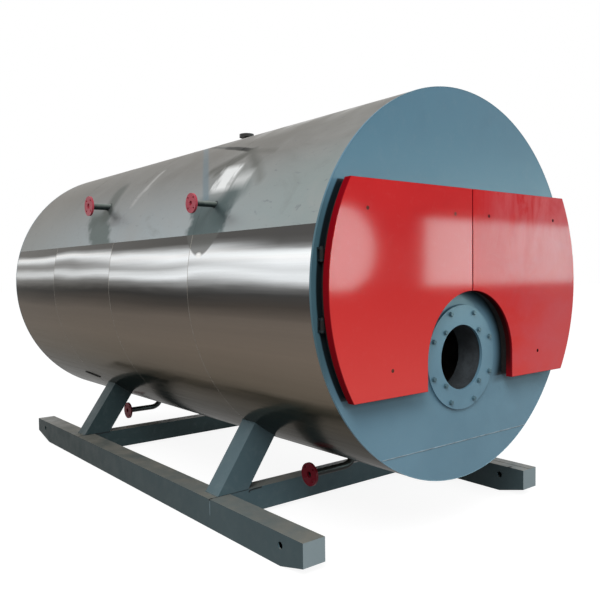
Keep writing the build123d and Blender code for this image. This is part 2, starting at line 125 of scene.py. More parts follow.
class Finish:
    """A Principled material with short calls for its nodes."""

    def __init__(self, name):
        self.mat = bpy.data.materials.new(name)
        self.mat.use_nodes = True
        self.tree = self.mat.node_tree
        self.bsdf = self.tree.nodes["Principled BSDF"]
        coord = self.node("ShaderNodeTexCoord")
        self.place = coord.outputs["Object"]
        self.normal = coord.outputs["Normal"]

    def node(self, kind, inputs=None, **settings):
        return add_node(self.tree, kind, inputs, **settings)

    def set(self, **values):
        for key, value in values.items():
            feed(self.tree, self.bsdf.inputs[key.replace("_", " ")], value)

    def math(self, operation, a, b=0.0):
        return self.node("ShaderNodeMath", {0: a, 1: b}, operation=operation).outputs[0]

    def times(self, a, b):
        return self.math("MULTIPLY", a, b)

    def plus(self, a, b):
        return self.math("ADD", a, b)

    def minus(self, a, b):
        return self.math("SUBTRACT", a, b)

    def scaled(self, vector, x, y, z):
        return self.node("ShaderNodeVectorMath", {0: vector, 1: (x, y, z)}, operation="MULTIPLY").outputs[0]

    def moved(self, vector, other):
        return self.node("ShaderNodeVectorMath", {0: vector, 1: other}, operation="ADD").outputs[0]

    def split(self, vector):
        return self.node("ShaderNodeSeparateXYZ", {0: vector}).outputs

    def join(self, x, y, z):
        return self.node("ShaderNodeCombineXYZ", {0: x, 1: y, 2: z}).outputs[0]

    def noise(self, vector, scale, detail=4.0, rough=0.55, distort=0.0):
        return self.node("ShaderNodeTexNoise", {
            "Vector": vector, "Scale": scale, "Detail": detail, "Roughness": rough,
            "Distortion": distort}).outputs["Fac"]

    def cell_edges(self, vector):
        """Distance to the nearest edge of irregular cells."""
        inputs = {"Vector": vector, "Scale": 1.0}
        return self.node("ShaderNodeTexVoronoi", inputs, feature="DISTANCE_TO_EDGE").outputs["Distance"]

    def ramp(self, factor, stops):
        """Colours along a ramp: stops is a list of (place from 0 to 1, colour)."""
        ramp = self.node("ShaderNodeValToRGB", {"Fac": factor})
        elements = ramp.color_ramp.elements
        while len(elements) < len(stops):
            elements.new(0.5)
        for element, (place, colour) in zip(elements, stops):
            element.position = place
            element.color = colour
        return ramp.outputs["Color"]

    def span(self, value, low, high, to_low=0.0, to_high=1.0):
        """The value's range from low to high, laid over another range and clamped."""
        return self.node("ShaderNodeMapRange", {
            "Value": value, "From Min": low, "From Max": high, "To Min": to_low,
            "To Max": to_high}).outputs["Result"]

    def mix(self, factor, a, b):
        return self.node("ShaderNodeMix", {"Factor": factor, 6: a, 7: b}, data_type="RGBA").outputs[2]

    def bump(self, height, strength, distance, normal=None):
        inputs = {"Height": height, "Strength": strength, "Distance": distance}
        if normal is not None:
            inputs["Normal"] = normal
        return self.node("ShaderNodeBump", inputs).outputs["Normal"]

    def on_left(self):
        """One on the boiler's left half, nothing on its right half."""
        return self.math("LESS_THAN", self.split(self.place)[0], 0.0)

    def radius(self, height):
        """Distance from a lengthwise line at this height on the centre plane."""
        x, _, z = self.split(self.place)
        up = self.minus(z, height)
        return self.math("SQRT", self.plus(self.times(x, x), self.times(up, up)))

    def round_place(self):
        """Metres along the boiler, degrees above its axis on either side, and both as one vector."""
        x, y, z = self.split(self.place)
        angle = self.math("ARCTAN2", self.minus(z, AXIS), self.math("ABSOLUTE", x))
        degrees = self.times(angle, 180 / math.pi)
        along = self.minus(y, FRONT)
        arc = self.times(angle, RADIUS)
        side = self.times(self.math("SIGN", x), 3.0)
        return along, degrees, self.join(along, arc, side)


def band(f, value, low, high, soft):
    """One between low and high, fading to nothing over the soft width on both sides."""
    rise = f.span(value, low - soft, low + soft)
    fall = f.span(value, high - soft, high + soft, 1.0, 0.0)
    return f.times(rise, fall)


def patch(f, along, degrees, area, soft):
    """One inside an area (from and to along, from and to in degrees), fading over two soft widths."""
    start, end, low, high = area
    return f.times(band(f, along, start, end, soft[0]), band(f, degrees, low, high, soft[1]))


def near_line(f, along, degrees, start, end, width, feather):
    """One on the line between two points (metres along, degrees up), fading to nothing beside it."""
    arc = math.radians(1) * RADIUS
    run, rise = end[0] - start[0], (end[1] - start[1]) * arc
    a = f.minus(along, start[0])
    b = f.times(f.minus(degrees, start[1]), arc)
    share = f.span(f.plus(f.times(a, run), f.times(b, rise)), 0, run * run + rise * rise)
    off_a = f.minus(a, f.times(share, run))
    off_b = f.minus(b, f.times(share, rise))
    square = f.plus(f.times(off_a, off_a), f.times(off_b, off_b))
    return f.span(f.math("SQRT", square), width, width + feather, 1, 0)


def paint(name, colour, other, rough, dirt, fade=None, marks_and_shade=None):
    """Sprayed enamel: slow drift between two colours, fine orange peel and a little dust.

    fade is (axis, low, high, colour, share): the paint drifts to that colour from low to high.
    The last argument is a function that adds the marks, and the painted shade and light, that only this
    paint has.
    """
    f = Finish(name)
    slow = f.span(f.noise(f.place, 2.3, 3), 0.35, 0.65)
    base = f.mix(slow, srgb(*colour), srgb(*other))
    if fade:
        axis, low, high, far, share = fade
        base = f.mix(f.span(f.split(f.place)[axis], low, high, 0, share), base, srgb(*far))
    dust = f.span(f.noise(f.place, 17.0, 6, 0.65), 0.52, 0.8, 0, dirt)
    base = f.mix(dust, base, srgb(150, 158, 160))
    specks = f.span(f.noise(f.place, 90.0, 2), 0.68, 0.78, 0, dirt)
    base = f.mix(specks, base, srgb(60, 70, 74))
    if marks_and_shade:
        base = marks_and_shade(f, base)
    f.set(Base_Color=base, Metallic=0.0, Specular_IOR_Level=0.28)
    f.set(Roughness=f.span(f.noise(f.place, 9.0, 5), 0.3, 0.7, rough - 0.08, rough + 0.1))
    f.set(Normal=f.bump(f.noise(f.place, 260.0, 2), 0.12, 0.002))
    return f


def front_painted_shade(f, base):
    """Painted shade: darker paint beside the left door, and near-black painted shadow on the plate behind
    both doors, fading into the burner arch, and in a band just under them.
    """
    x, y, z = f.split(f.place)
    # painted shade of the left door on the plate beside it
    tint_start, tint_end, tint_low, tint_high = RADIUS - 0.06, RADIUS - 0.17, 0.4, 0.62
    from_axis = f.math("ABSOLUTE", f.minus(z, AXIS))
    painted_shade_beside = f.times(f.span(x, -tint_start, -tint_end, 1, 0), f.span(from_axis, tint_low, tint_high, 1, 0))
    base = f.mix(f.times(painted_shade_beside, 0.5), base, srgb(38, 68, 64))
    # painted shadow: a band just under the doors, and near black behind them
    painted_shadow_under_doors = f.span(z, DOOR_BOTTOM - 0.045, DOOR_BOTTOM - 0.02, 0, 0.42)
    shade_and_soot = f.plus(painted_shadow_under_doors, f.span(z, DOOR_BOTTOM, DOOR_BOTTOM + 0.006, 0, 0.53))
    outline = f.span(f.radius(AXIS), DOOR_RADIUS, DOOR_RADIUS + 0.008, 1, 0)
    arch = f.span(f.radius(BURNER), DOOR_ARCH - 0.05, DOOR_ARCH + 0.008)
    top = f.span(z, DOOR_TOP - 0.006, DOOR_TOP, 1, 0)
    on_face = f.math("LESS_THAN", y, FRONT + 0.006)
    for mask in (outline, arch, top, on_face):
        shade_and_soot = f.times(shade_and_soot, mask)
    return f.mix(shade_and_soot, base, srgb(13, 15, 16))


def skid_dust_and_painted_light(f, base):
    """Pale tops, partly settled dust and partly painted light, painted shade on the sides of the runners,
    and paler faces at their front ends.
    """
    _, y, z = f.split(f.place)
    facing_x, facing_y, facing_z = f.split(f.normal)
    # the tops are paler by which way they face: settled dust and painted light
    patchy = f.span(f.noise(f.place, 5.0, 6, 0.65), 0.3, 0.62, 0.35, 1.0)
    dust_and_top_light = f.times(f.times(f.span(facing_z, 0.7, 0.95), patchy), 0.75)
    base = f.mix(dust_and_top_light, base, srgb(140, 136, 126))
    # painted shade on the sides of the runners
    painted_shade_beside = f.span(f.math("ABSOLUTE", facing_x), 0.7, 0.95, 0, 0.5)
    on_runner = f.math("LESS_THAN", z, SKID_TOP + 0.001)
    base = f.mix(f.times(painted_shade_beside, on_runner), base, srgb(44, 50, 46))
    forward = f.span(facing_y, -0.95, -0.8, 0.6, 0)
    at_toe = f.math("LESS_THAN", y, TOE + 0.034)
    return f.mix(f.times(forward, at_toe), base, srgb(168, 182, 186))


def plain(name, colour, metallic, rough, grain=120.0, depth=0.2, spots=None, gloss=0.5):
    """Rough bare material with mottled colour and grain."""
    f = Finish(name)
    darker = [channel * 0.7 for channel in colour]
    mottle = f.span(f.noise(f.place, 14.0, 6, 0.6), 0.3, 0.7)
    base = f.mix(mottle, srgb(*colour), srgb(*(spots or darker)))
    f.set(Base_Color=base, Metallic=metallic, Specular_IOR_Level=gloss)
    f.set(Roughness=f.span(f.noise(f.place, 25.0, 4), 0.3, 0.7, rough - 0.1, rough + 0.1))
    f.set(Normal=f.bump(f.noise(f.place, grain, 5, 0.6), depth, 0.003))
    return f


# Painted reflections of the hall in the polished sheet, as tones by degrees above the axis: colours on
# its lower part, the same along the whole boiler, and greys on its upper part, for each of three places
# (metres behind the front plate)
TONES_FROM, TONES_TO = -90, 20
UNDERSIDE_REFLECTION = [
    (-90, (56, 54, 50)), (-66, (58, 56, 51)), (-56, (68, 65, 58)), (-47, (80, 76, 68)),
    (-38, (108, 100, 88)), (-30, (134, 122, 107)), (-19, (150, 136, 122)), (-9, (142, 130, 119)),
    (-5, (97, 90, 84))]
REFLECTION_BANDS = {
    0.27: [(-2, 90), (0, 134), (1, 184), (2.4, 232), (4, 236), (5.4, 220), (6.6, 240),
           (8, 254), (9.1, 250), (9.8, 230), (10.6, 150), (11.6, 92), (13.4, 78)],
    1.35: [(-2, 74), (0, 92), (2, 138), (3, 196), (4, 242), (5.4, 222), (6.6, 176), (7.6, 200),
           (9, 246), (10.4, 255), (11.4, 236), (12.6, 150), (14, 82)],
    3.0: [(-2, 64), (0, 74), (2, 110), (3, 166), (4.2, 222), (5.4, 212), (6.8, 156), (8, 128),
          (9, 150), (10, 200), (11, 246), (12.2, 255), (13.0, 180), (14.2, 92)]}
BAND_STEPS = (0.6, -0.9, 0.8)


def tone(grey):
    """A grey that turns from warm in the dark bands to cool in the bright ones."""
    return grey, min(grey + (grey - 110) * 0.03, 255), min(grey + (grey - 120) * 0.05, 255)


def painted_reflection_bands(f, along, degrees, place):
    """Painted reflection: bands of light and dark, wavy, with a small step at each seam of the jacket."""
    wave = f.span(f.noise(f.scaled(place, 0.55, 2.2, 1), 1.0, 2), 0.3, 0.7, -1.0, 1.0)
    ripple = f.span(f.noise(f.scaled(place, 0.8, 16.0, 1), 1.0, 4, 0.6), 0.3, 0.7, -0.4, 0.4)
    shifted = f.plus(f.plus(degrees, wave), ripple)
    for seam, step in zip(SEAMS, BAND_STEPS):
        behind = f.math("GREATER_THAN", along, seam - FRONT)
        shifted = f.plus(shifted, f.times(behind, step))
    factor = f.span(shifted, TONES_FROM, TONES_TO)
    ramps = []
    for greys in REFLECTION_BANDS.values():
        stops = UNDERSIDE_REFLECTION + [(height, tone(grey)) for height, grey in greys]
        ramps.append(f.ramp(factor, [((height - TONES_FROM) / (TONES_TO - TONES_FROM), srgb(*colour))
                                     for height, colour in stops]))
    places = list(REFLECTION_BANDS)
    base = ramps[0]
    for before, after, ramp in zip(places, places[1:], ramps[1:]):
        base = f.mix(f.span(along, before, after), base, ramp)
    return base


def painted_nozzle_reflection(f, base, along, degrees):
    """Painted reflection of the front nozzle: a dark round dip in the bright band below it, with a painted
    glint at its foot.
    """
    middle, half_width, foot, slope = 1.045, 0.125, 9.6, 3.2
    glint, glint_height = 9.9, 1.1
    aside = f.math("DIVIDE", f.minus(along, middle), half_width)
    squared = f.times(aside, aside)
    rise = f.minus(degrees, f.plus(f.times(squared, slope), foot))
    left = f.on_left()
    base = f.mix(f.times(f.span(rise, -0.3, 0.5, 0, 0.8), left), base, srgb(96, 97, 95))
    up = f.math("DIVIDE", f.minus(degrees, glint), glint_height)
    spread = f.plus(f.times(squared, 10.0), f.times(up, up))
    return f.mix(f.times(f.span(spread, 0.1, 1.0, 1, 0), left), base, srgb(250, 250, 248))


def polished():
    """Polished stainless sheet: painted reflections in bands of light and dark that run along the boiler."""
    f = Finish("polished_steel")
    along, degrees, place = f.round_place()
    base = painted_reflection_bands(f, along, degrees, place)
    base = painted_nozzle_reflection(f, base, along, degrees)
    lines = f.noise(f.scaled(place, 0.5, 70.0, 1), 1.0, 5, 0.7)
    base = f.mix(f.span(lines, 0.35, 0.7, 0, 0.12), base, f.mix(0.55, base, srgb(60, 58, 56)))
    f.set(Base_Color=base, Metallic=1.0, Anisotropic=0.3, Specular_Tint=(0.7, 0.69, 0.67, 1))
    f.set(Roughness=f.span(f.noise(f.scaled(place, 1, 30, 1), 1.5, 5), 0.3, 0.7, 0.12, 0.24))
    dents = f.noise(f.scaled(place, 1.0, 3.0, 1), 1.6, 2)
    scratch = f.noise(f.scaled(place, 1.5, 220.0, 1), 1.0, 3)
    f.set(Normal=f.bump(scratch, 0.05, 0.001, f.bump(dents, 0.25, 0.01)))
    return f


# Areas of the film: metres behind the front plate from and to, degrees above the axis from and to
# the first two areas hold the painted reflections of the nozzles
FRONT_NOZZLE_REFLECTION = (0.84, 1.24, 5, 28.5)
REAR_NOZZLE_REFLECTION = (2.38, 2.76, 5, 32)
TOP_HIGHLIGHT_STREAKS = (0.15, 1.5, 62, 82)
BARE_PATCH = (0.95, 1.13, 31.5, 41.5)
THIN_PATCH = (0.77, 0.9, 32, 37)

# Creases that run out from the fold near the top, and streaks, all on the left, drawn in painted shade
# where dark and painted highlight where pale: both ends (metres along, degrees up), half the width, the
# fade beside it, the colour and how strongly it shows
CREASE_SHADES = [
    ((1.9, 66), (1.477, 57.4), 0.01, 0.01, (60, 62, 60), 0.9),
    ((1.477, 57.4), (1.019, 49.4), 0.013, 0.012, (30, 32, 30), 1.0),
    ((1.0, 48.7), (1.303, 41.5), 0.008, 0.055, (92, 93, 88), 0.7),
    ((1.03, 46.0), (1.212, 39.9), 0.008, 0.04, (92, 93, 88), 0.7),
    ((1.0, 48.7), (0.79, 40.4), 0.006, 0.045, (98, 100, 96), 0.7),
    ((0.79, 40.4), (0.64, 33.3), 0.006, 0.05, (110, 112, 108), 0.5),
    ((1.0, 48.7), (0.7, 45.4), 0.006, 0.03, (108, 108, 103), 0.5),
    ((2.167, 49.3), (2.183, 40.3), 0.01, 0.035, (190, 190, 188), 0.8),
    ((2.183, 40.3), (2.24, 32.7), 0.01, 0.035, (182, 182, 181), 0.7),
    ((2.698, 42.2), (2.642, 30.5), 0.05, 0.07, (90, 97, 93), 0.7),
    ((0.77, 30.6), (0.875, 28.3), 0.03, 0.06, (92, 107, 107), 0.4),
    ((0.875, 28.3), (0.927, 24.0), 0.05, 0.07, (80, 95, 96), 0.7)]


def film_ground(f, along, degrees, place, cloud):
    """Tone of the film by height and length, clouded, with painted highlights as pale streaks near the top.
    """
    base = f.ramp(f.span(degrees, 16, 95), [
        (0.0, srgb(168, 177, 180)), (0.12, srgb(160, 166, 168)), (0.22, srgb(150, 153, 153)),
        (0.36, srgb(133, 132, 129)), (0.6, srgb(122, 118, 112)), (1.0, srgb(116, 111, 104))])
    base = f.mix(f.span(along, 2.9, 4.2, 0.0, 0.35), base, srgb(146, 141, 131))
    near_front = f.times(f.span(along, 0.0, 1.3, 0.8, 0.0), f.span(degrees, 30, 45, 1.0, 0.1))
    base = f.mix(near_front, base, srgb(140, 152, 150))
    base = f.mix(f.span(cloud, 0.45, 0.7, 0, 0.45), base, srgb(168, 168, 166))
    base = f.mix(f.span(cloud, 0.26, 0.42, 0.45, 0.0), base, srgb(112, 112, 107))
    # painted highlight: pale streaks near the top
    highlight_streak = f.noise(f.moved(f.scaled(place, 4.0, 1.6, 1), (0, 5, 0)), 1.0, 5, 0.6, 0.3)
    high = patch(f, along, degrees, TOP_HIGHLIGHT_STREAKS, (0.25, 6))
    return f.mix(f.times(high, f.span(highlight_streak, 0.42, 0.62, 0, 0.8)), base, srgb(214, 214, 212))


def film_nozzle_reflections(f, base, along, degrees, ragged):
    """Painted reflections of the two nozzles: dark patches under them with ragged edges; the rear one leans
    back.
    """
    here = f.plus(along, ragged)
    lean = f.times(f.minus(degrees, 18.6), 0.018)
    front = patch(f, here, degrees, FRONT_NOZZLE_REFLECTION, (0.03, 2.5))
    rear = patch(f, f.minus(here, lean), degrees, REAR_NOZZLE_REFLECTION, (0.04, 3))
    base = f.mix(f.times(front, 0.9), base, srgb(78, 94, 95))
    return f.mix(f.times(rear, 0.8), base, srgb(88, 101, 98))


def painted_crease_shading(f, base, along, degrees, ragged, left):
    """The creases drawn on the film in painted shade and highlight, and one mask of them all for the bump.
    """
    wavy = f.plus(along, f.times(ragged, 0.2))
    creases = None
    for start, end, width, feather, colour, share in CREASE_SHADES:
        line = f.times(near_line(f, wavy, degrees, start, end, width, feather), left)
        base = f.mix(f.times(line, share), base, srgb(*colour))
        creases = line if creases is None else f.math("MAXIMUM", creases, line)
    return base, creases


def painted_upright_reflection(f, base, along, degrees, left):
    """Painted reflection of a blue-grey upright: a strip on the left, bowed as it rises."""
    foot_along, foot_degrees, slope, bow = 1.156, 29.4, 0.0159, 0.000187
    up = f.minus(degrees, foot_degrees)
    course = f.plus(f.times(up, slope), f.times(f.times(up, up), bow))
    off = f.math("ABSOLUTE", f.minus(along, f.plus(course, foot_along)))
    strip = f.times(f.span(off, 0.02, 0.05, 0.6, 0.0), f.math("GREATER_THAN", degrees, 28.5))
    return f.mix(f.times(strip, left), base, srgb(112, 134, 146))


def bare_patches(f, base, along, degrees, place, left):
    """Bare bright patch with a torn edge, on the left, and a fainter one beside it."""
    torn = f.span(f.noise(f.scaled(place, 14, 5, 1), 1.0, 4), 0.3, 0.7, -0.05, 0.05)
    here = f.plus(along, torn)
    bare = patch(f, here, degrees, BARE_PATCH, (0.03, 1.2))
    thin = patch(f, here, degrees, THIN_PATCH, (0.03, 2))
    bare = f.times(f.plus(bare, f.times(thin, 0.5)), left)
    return f.mix(f.times(bare, 0.95), base, srgb(246, 248, 248))


def film():
    """The same sheet under a matte protective film, wrinkled and smudged, with bare patches, painted
    reflections, painted shade and painted highlights.
    """
    f = Finish("film_steel")
    along, degrees, place = f.round_place()
    left = f.on_left()
    cloud = f.noise(f.scaled(place, 1.4, 1.9, 1), 1.5, 5, 0.6, 0.6)
    ragged = f.span(f.noise(f.scaled(place, 9, 9, 1), 1.0, 4), 0.3, 0.7, -0.05, 0.05)
    base = film_ground(f, along, degrees, place, cloud)
    base = film_nozzle_reflections(f, base, along, degrees, ragged)
    base, creases = painted_crease_shading(f, base, along, degrees, ragged, left)
    scuffs = f.noise(f.scaled(place, 5.0, 11.0, 1), 3.0, 4, 0.6, 1.0)
    base = f.mix(f.span(scuffs, 0.64, 0.72, 0, 0.5), base, srgb(112, 115, 120))
    base = painted_upright_reflection(f, base, along, degrees, left)
    base = bare_patches(f, base, along, degrees, place, left)
    f.set(Base_Color=base, Metallic=0.6, Specular_Tint=(0.4, 0.39, 0.37, 1), Specular_IOR_Level=0.3)
    f.set(Roughness=f.span(cloud, 0.3, 0.7, 0.3, 0.42))
    wrinkle = f.noise(f.scaled(place, 5.0, 9.0, 1), 1.0, 6, 0.62, 1.2)
    fold = f.span(f.cell_edges(f.moved(f.scaled(place, 1.6, 3.2, 1), (0.4, 0.2, 0))), 0.0, 0.05)
    worn = f.bump(fold, 0.08, 0.002, f.bump(wrinkle, 0.3, 0.004))
    f.set(Normal=f.bump(creases, 0.35, 0.004, worn))
    return f


def door_red():
    """Glossy red coat with its folded rim painted darker as shade, paler low down and hazy on the right
    leaf.
    """
    f = Finish("door_red")
    x, y, z = f.split(f.place)
    slow = f.span(f.noise(f.place, 1.7, 3), 0.3, 0.7)
    base = f.mix(slow, srgb(200, 22, 26), srgb(208, 31, 34))
    base = f.mix(f.span(z, 0.95, 1.75, 0.85, 0.0), base, srgb(230, 78, 74))
    haze = f.span(f.noise(f.scaled(f.place, 2.6, 1.0, 4.0), 1.0, 4, 0.6, 0.8), 0.35, 0.7, 0.02, 0.24)
    base = f.mix(f.times(haze, f.span(x, 0.0, 0.4)), base, srgb(200, 112, 128))
    base = f.mix(f.span(x, 0.4, 0.9, 0, 0.26), base, srgb(208, 124, 128))
    dust = f.span(f.noise(f.place, 30.0, 6, 0.65), 0.55, 0.8, 0, 0.045)
    base = f.mix(dust, base, srgb(225, 150, 148))
    smears = f.noise(f.scaled(f.place, 9.0, 1.0, 3.6), 1.0, 5, 0.6, 0.7)
    under_top = f.times(f.span(z, 1.45, 1.85, 0.0, 0.55), f.span(x, 0.0, 0.5))
    base = f.mix(f.times(under_top, f.span(smears, 0.36, 0.62)), base, srgb(218, 112, 116))
    # the folded rim is painted darker as shade, and black towards its back inside the burner arch as painted
    # shadow
    facing = f.math("ABSOLUTE", f.split(f.normal)[1])
    in_arch = f.span(f.radius(BURNER), DOOR_ARCH, DOOR_ARCH + 0.02, 1, 0)
    depth = f.span(y, DOOR_FACE + 0.004, DOOR_FACE + 0.018)
    shaded_rim = f.mix(f.times(in_arch, depth), srgb(120, 8, 20), srgb(20, 8, 9))
    base = f.mix(f.span(facing, 0.6, 0.95, 0.95, 0.0), base, shaded_rim)
    f.set(Base_Color=base, Metallic=0.0, Coat_Roughness=0.085, Specular_IOR_Level=0.0)
    # the right leaf is a little duller
    shine = f.span(x, -0.01, 0.01, 0.27, 0.18)
    f.set(Coat_Weight=f.times(shine, f.span(facing, 0.6, 0.95)))
    f.set(Roughness=f.span(f.noise(f.place, 11.0, 4), 0.3, 0.7, 0.3, 0.4))
    wave = f.noise(f.place, 2.2, 1)
    peel = f.noise(f.place, 300.0, 2)
    f.set(Normal=f.bump(peel, 0.05, 0.001, f.bump(wave, 0.12, 0.01)))
    return f


def enamel_with_painted_light(name, upper, lower):
    """Worn enamel on a pipe, with painted light: pale where it faces up, and painted shade underneath."""
    f = Finish(name)
    # painted light and shade by which way the surface faces
    up = f.span(f.split(f.normal)[2], -0.35, 0.8)
    worn = f.span(f.noise(f.place, 22.0, 5, 0.65), 0.35, 0.65, -0.15, 0.15)
    f.set(Base_Color=f.mix(f.plus(up, worn), srgb(*lower), srgb(*upper)), Metallic=0.2)
    f.set(Roughness=f.span(f.noise(f.place, 30.0, 4), 0.3, 0.7, 0.3, 0.5))
    f.set(Normal=f.bump(f.noise(f.place, 180.0, 4), 0.2, 0.002))
    return f


# the frame's paint darkens towards the rear as painted shade
DARKER_REAR = (1, -1.4, 0.9, (46, 62, 64), 0.9)
DARKER_TOP = (2, 0.6, 2.3, (78, 120, 141), 1.0)
FINISH = {
    "frame_paint": paint("frame_paint", (78, 101, 109), (88, 110, 117), 0.42, 0.12, DARKER_REAR, skid_dust_and_painted_light),
    "body_paint": paint("body_paint", (105, 141, 160), (111, 147, 166), 0.36, 0.06, DARKER_TOP, front_painted_shade),
    # darker than the ring, as painted shade on the bolt heads
    "bolt_paint": paint("bolt_paint", (80, 109, 120), (88, 118, 130), 0.3, 0.1),
    "door_red": door_red(),
    "polished_steel": polished(),
    "film_steel": film(),
    "flange_red": paint("flange_red", (160, 48, 66), (176, 66, 80), 0.4, 0.15),
    "drain_red": paint("drain_red", (120, 20, 36), (132, 26, 42), 0.36, 0.1),
    "pipe_steel": enamel_with_painted_light("pipe_steel", (112, 122, 116), (34, 44, 44)),
    "pipe_black": enamel_with_painted_light("pipe_black", (58, 58, 54), (20, 20, 19)),
    "boiler_steel": plain("boiler_steel", (88, 82, 78), 0.5, 0.6, spots=(70, 52, 42)),
    # dark grey, as painted shade inside the burner throat
    "refractory": plain("refractory", (70, 76, 80), 0.0, 0.7, 60.0, 0.5, spots=(50, 53, 56)),
    "lining_board": plain("lining_board", (30, 28, 27), 0.0, 0.85, 80.0, 0.4),
    # near black, as painted shade of the gap behind the doors where the hinges sit
    "hinge_steel": paint("hinge_steel", (22, 29, 32), (28, 36, 39), 0.42, 0.06),
    "bright_steel": plain("bright_steel", (170, 170, 168), 1.0, 0.35, 200.0, 0.1),
    "lap_steel": plain("lap_steel", (172, 168, 160), 1.0, 0.25, 200.0, 0.1, spots=(132, 126, 118)),
    "screw": plain("screw", (112, 62, 48), 0.0, 0.5, 200.0, 0.1, (70, 34, 28), 0.06),
    # a darker copy of the screw for the right door, as painted shade
    "screw_shaded": plain("screw_shaded", (56, 20, 22), 0.0, 0.5, 200.0, 0.1, gloss=0.0),
    "dark_steel": plain("dark_steel", (46, 44, 42), 0.6, 0.5),
    "seam_pale": plain("seam_pale", (150, 172, 182), 0.0, 0.4, 200.0, 0.1),
    "seam_dark": plain("seam_dark", (38, 46, 50), 0.0, 0.6, 200.0, 0.1),
    "rope": plain("rope", (176, 168, 150), 0.0, 0.9, 400.0, 0.6),
    "glass": plain("glass", (30, 36, 34), 0.0, 0.15),
    # near black: soot, and painted shade in gaps and open bores
    "shade_and_soot": plain("shade_and_soot", (22, 21, 20), 0.0, 0.9, 60.0, 0.5),
}

for part in frame["record"]["subparts"]:
    mesh = NODES[part["node"]].data
    mesh.materials.clear()
    mesh.materials.append(FINISH[part["material_slot"]].mat)


# Meshes for the fine detail
class Build:
    """Collects vertices and faces of one piece."""

    def __init__(self):
        self.points = []
        self.faces = []

    def add(self, points, faces):
        start = len(self.points)
        self.points += [tuple(point) for point in points]
        self.faces += [tuple(start + i for i in face) for face in faces]

    def box(self, low, high):
        (x0, y0, z0), (x1, y1, z1) = low, high
        points = [(x0, y0, z0), (x1, y0, z0), (x1, y1, z0), (x0, y1, z0),
                  (x0, y0, z1), (x1, y0, z1), (x1, y1, z1), (x0, y1, z1)]
        self.add(points, [(0, 3, 2, 1), (4, 5, 6, 7), (0, 1, 5, 4),
                          (1, 2, 6, 5), (2, 3, 7, 6), (3, 0, 4, 7)])

    def bead(self, path, radius, closed=False, ripple=0.0, sides=6):
        """A round bead swept along a path; ripple swells it at random, as in a weld."""
        path = [Vector(point) for point in path]
        count = len(path)
        rings = []
        up = None
        for i, point in enumerate(path):
            before = path[i - 1] if (i or closed) else point
            after = path[(i + 1) % count] if (i < count - 1 or closed) else point
            along = (after - before).normalized()
            if up is None:
                up = along.orthogonal().normalized()
            up = (up - along * up.dot(along)).normalized()
            side = along.cross(up)
            swollen = radius * (1 + ripple * random.uniform(-1, 1))
            rings.append([point + (up * math.cos(turn) + side * math.sin(turn)) * swollen
                          for turn in (2 * math.pi * k / sides for k in range(sides))])
        faces = []
        last = count if closed else count - 1
        for i in range(last):
            here, there = i * sides, ((i + 1) % count) * sides
            for k in range(sides):
                n = (k + 1) % sides
                faces.append((here + k, here + n, there + n, there + k))
        if not closed:
            faces.append(tuple(range(sides))[::-1])
            faces.append(tuple((count - 1) * sides + k for k in range(sides)))
        self.add([point for ring in rings for point in ring], faces)

    def turned(self, centre, axis, profile, sides):
        """A solid turned about an axis: profile is a list of (distance along, radius)."""
        centre, axis = Vector(centre), Vector(axis).normalized()
        u = axis.orthogonal().normalized()
        v = axis.cross(u)
        points = []
        for along, radius in profile:
            for k in range(sides):
                turn = 2 * math.pi * k / sides
                points.append(centre + axis * along + (u * math.cos(turn) + v * math.sin(turn)) * radius)
        faces = []
        for i in range(len(profile) - 1):
            here, there = i * sides, (i + 1) * sides
            for k in range(sides):
                n = (k + 1) % sides
                faces.append((here + k, here + n, there + n, there + k))
        faces.append(tuple(range(sides))[::-1])
        faces.append(tuple((len(profile) - 1) * sides + k for k in range(sides)))
        self.add(points, faces)

    def done(self, name, finish, body="boiler", smooth=True):
        """Makes the object and lets it ride on its body."""
        mesh = bpy.data.meshes.new(name)
        mesh.from_pydata(self.points, [], self.faces)
        mesh.update()
        if smooth:
            mesh.polygons.foreach_set("use_smooth", [True] * len(mesh.polygons))
            mesh.set_sharp_from_angle(angle=math.radians(40))
        obj = bpy.data.objects.new(name, mesh)
        bpy.context.scene.collection.objects.link(obj)
        mesh.materials.append(FINISH[finish].mat)
        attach(obj, body)


def on_round(along, degrees, lift=0.0, side=-1):
    """Point on the jacket: metres behind the front plate, degrees above the axis on that side."""
    angle = math.radians(degrees)
    reach = RADIUS + lift
    return Vector((side * reach * math.cos(angle), FRONT + along, AXIS + reach * math.sin(angle)))


def circle(centre, axis, radius, count):
    """Points evenly round a circle square to the axis."""
    centre, axis = Vector(centre), Vector(axis).normalized()
    u = axis.orthogonal().normalized()
    v = axis.cross(u)
    turns = [2 * math.pi * k / count for k in range(count)]
    return [centre + (u * math.cos(turn) + v * math.sin(turn)) * radius for turn in turns]


def dense(points, step):
    """The same path with a point at least every step metres."""
    out = []
    for start, end in zip(points, points[1:]):
        start, end = Vector(start), Vector(end)
        count = max(1, int((end - start).length / step))
        out += [start + (end - start) * i / count for i in range(count)]
    return out + [Vector(points[-1])]


# Countersunk screws in the door covers: metres off the centre plane and above the axis, and the
# profile of a head as (height, radius), from just inside the cover
SCREW_PLACES = [(0.812, 0.39), (0.15, 0.39), (0.645, -0.415)]
SCREW_HEAD = [(0, 0.011), (0.0008, 0.011), (0.0012, 0.0096), (0.0012, 0.0042), (0.0011, 0.0038)]
SCREW_DEPTH = 0.001
# the right door's screws take the darker copy, as painted shade
for body, side, finish in (("left_door", -1, "screw"), ("right_door", 1, "screw_shaded")):
    piece = Build()
    for across, height in SCREW_PLACES:
        foot = (side * across, DOOR_FACE + SCREW_DEPTH, AXIS + height)
        piece.turned(foot, (0, -1, 0), SCREW_HEAD, 18)
    piece.done(body + "_screws", finish, body)

